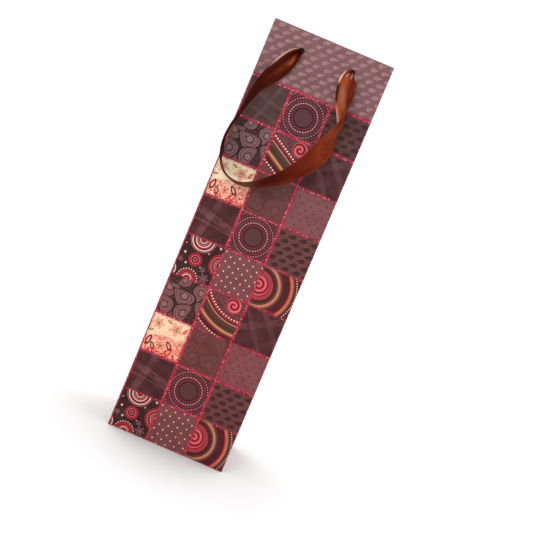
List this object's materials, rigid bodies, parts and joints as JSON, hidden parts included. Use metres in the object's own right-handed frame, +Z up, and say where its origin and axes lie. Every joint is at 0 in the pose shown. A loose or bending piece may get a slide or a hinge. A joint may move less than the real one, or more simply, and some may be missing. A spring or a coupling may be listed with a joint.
{
  "type": "wine gift bag",
  "caption": "Tall gusseted paper gift bag for a wine bottle, patchwork print, folded hem, base board, and twisted satin ribbon handles that swing up.",
  "frame": {"origin": "middle of the bag's footprint, on the surface it stands on, with the ribbon handles left out of the box", "axes": "+Z up from the base to the mouth; -Y out of the front panel; +X to the right of the front panel"},
  "size_m": [0.102, 0.1262, 0.35],
  "materials": {
    "printed_paper": "printed and laminated paper, semi-gloss",
    "hem_card": "plain grey board, matt",
    "base_board": "plain grey board, matt",
    "ribbon": "copper-brown satin ribbon"
  },
  "bodies": {
    "bag": {"front_panel": "printed_paper", "back_panel": "printed_paper", "left_gusset_front": "printed_paper", "left_gusset_rear": "printed_paper", "right_gusset_front": "printed_paper", "right_gusset_rear": "printed_paper", "side_seam_tab": "printed_paper", "front_top_hem": "printed_paper", "back_top_hem": "printed_paper", "left_front_top_hem": "printed_paper", "left_rear_top_hem": "printed_paper", "right_front_top_hem": "printed_paper", "right_rear_top_hem": "printed_paper", "front_bottom_flap": "printed_paper", "back_bottom_flap": "printed_paper", "left_bottom_flap": "printed_paper", "right_bottom_flap": "printed_paper", "front_hem_card": "hem_card", "back_hem_card": "hem_card", "front_left_knot": "ribbon", "front_right_knot": "ribbon", "back_left_knot": "ribbon", "back_right_knot": "ribbon"},
    "front_ribbon": {"front_handle": "ribbon"},
    "back_ribbon": {"back_handle": "ribbon"},
    "board": {"base_board": "base_board"}
  },
  "joints": [
    {"name": "front_handle_swing", "type": "hinge", "parent": "bag", "child": "front_ribbon", "pos_m": [0, -0.048, 0.334], "axis": [-1, 0, 0], "range_deg": [0, 175]},
    {"name": "back_handle_swing", "type": "hinge", "parent": "bag", "child": "back_ribbon", "pos_m": [0, 0.048, 0.334], "axis": [1, 0, 0], "range_deg": [0, 175]},
    {"name": "base_board_lift", "type": "slide", "parent": "bag", "child": "board", "axis": [0, 0, 1], "range_m": [0, 0.3]}
  ]
}
